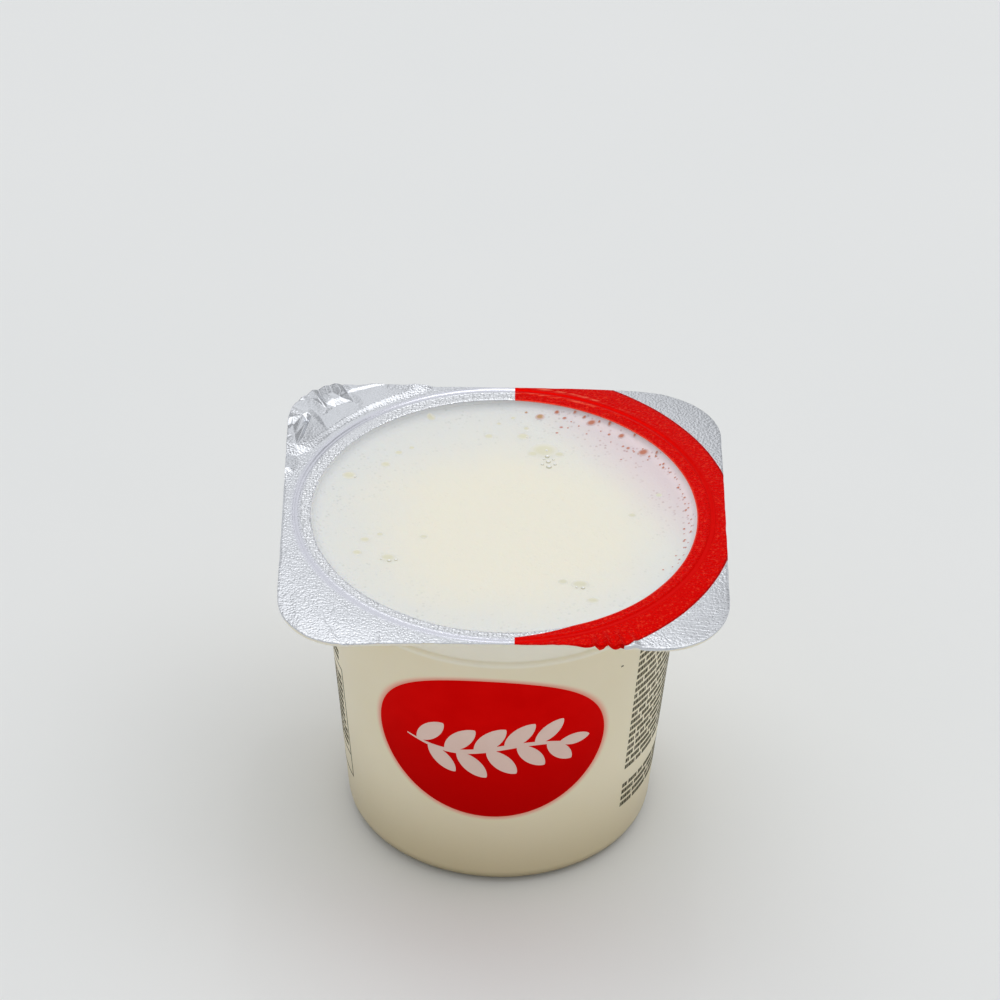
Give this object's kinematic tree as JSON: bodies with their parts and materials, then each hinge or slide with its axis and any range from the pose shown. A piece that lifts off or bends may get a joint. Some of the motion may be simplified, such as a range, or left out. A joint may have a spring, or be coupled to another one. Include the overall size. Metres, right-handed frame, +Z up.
{
  "type": "filled ayran cup with cut foil lid",
  "caption": "Thermoformed plastic cup of frothy ayran: round tapered body, rounded rectangular flange, sealed foil with its middle cut out and a creased corner.",
  "frame": {"origin": "middle of the cup's base, on the surface that it stands on, under the centre of the flange", "axes": "+X along the flange's longer side, -Y towards the front, +Z up along the cup's axis, out of its mouth"},
  "size_m": [0.079, 0.076, 0.0648],
  "materials": {
    "cup_plastic": "milky translucent polystyrene, satin",
    "lid_foil": "embossed lidding foil, soft sheen",
    "ayran_drink": "frothy off-white yogurt drink"
  },
  "bodies": {
    "root": {"cup": "cup_plastic", "foil_lid": "lid_foil", "ayran": "ayran_drink"}
  },
  "joints": []
}
